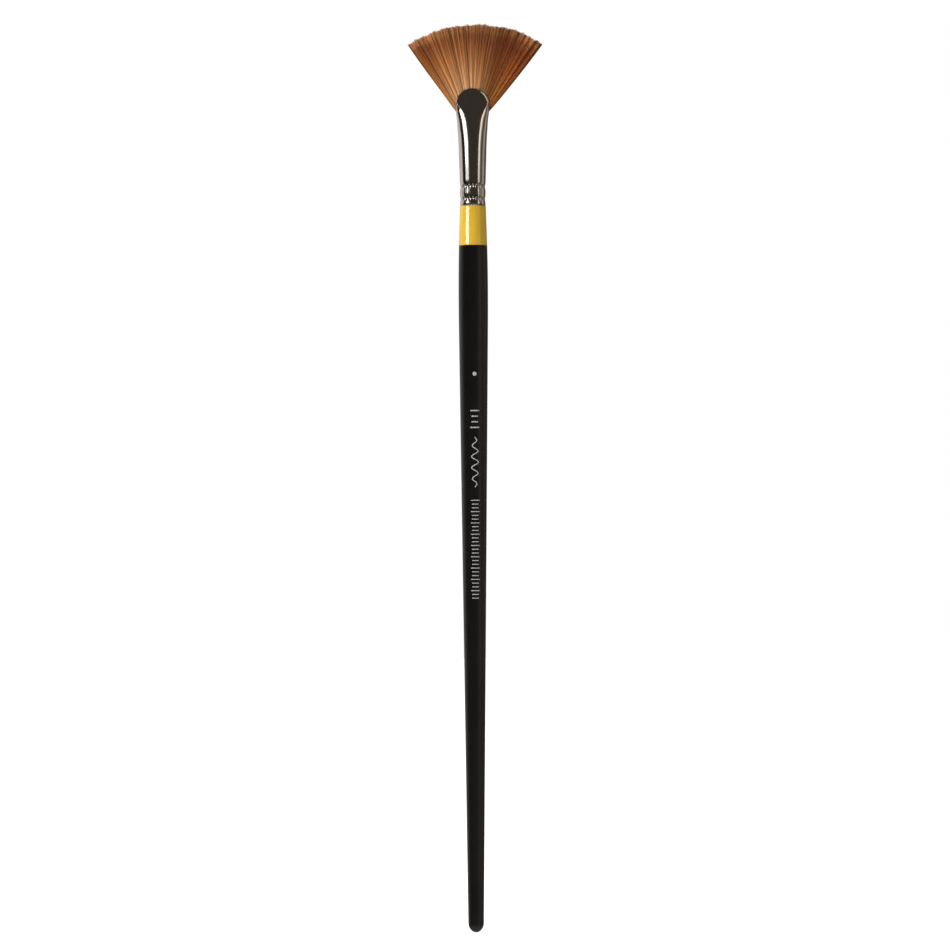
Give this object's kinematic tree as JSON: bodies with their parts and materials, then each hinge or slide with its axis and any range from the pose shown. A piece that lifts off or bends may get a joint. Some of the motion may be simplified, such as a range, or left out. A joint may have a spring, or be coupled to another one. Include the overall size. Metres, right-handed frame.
{
  "type": "fan paint brush",
  "caption": "Long-handled artists' fan brush: lacquered tapering wooden handle, crimped and flattened metal ferrule, and a flexible fan of filaments.",
  "frame": {"origin": "lowest point of the rounded handle end, on the brush's axis", "axes": "+Z along the brush from the handle end to the filament tips, X across the width of the fan, Y through its thickness, with the printed side of the handle towards -Y"},
  "size_m": [0.0448, 0.01, 0.31],
  "materials": {
    "wood": "smooth sanded hardwood, unfinished under the lacquer",
    "black_lacquer": "black brush lacquer, gloss with a faint dipped ripple",
    "yellow_lacquer": "warm yellow brush lacquer, gloss",
    "nickel": "bright nickel-plated drawn brass, polished",
    "adhesive": "cured wood glue, translucent cream",
    "epoxy": "cured amber epoxy",
    "thread": "twisted white cotton thread",
    "filament": "tapered synthetic filaments, chestnut brown with paler orange tips"
  },
  "bodies": {
    "handle": {"handle_core": "wood", "black_lacquer": "black_lacquer", "yellow_lacquer_band": "yellow_lacquer", "ferrule": "nickel", "tenon_adhesive": "adhesive", "epoxy_plug": "epoxy", "filament_roots": "filament", "binding_thread": "thread"},
    "filaments": {"filament_lock_01": "filament", "filament_lock_02": "filament", "filament_lock_03": "filament", "filament_lock_04": "filament", "filament_lock_05": "filament", "filament_lock_06": "filament", "filament_lock_07": "filament", "filament_lock_08": "filament", "filament_lock_09": "filament", "filament_lock_10": "filament", "filament_lock_11": "filament"}
  },
  "joints": [
    {"name": "filament_flex", "type": "hinge", "parent": "handle", "child": "filaments", "pos_m": [0, 0, 0.2855], "axis": [1, 0, 0], "range_deg": [-25, 25], "stiffness_Nm_per_rad": 0.02}
  ]
}
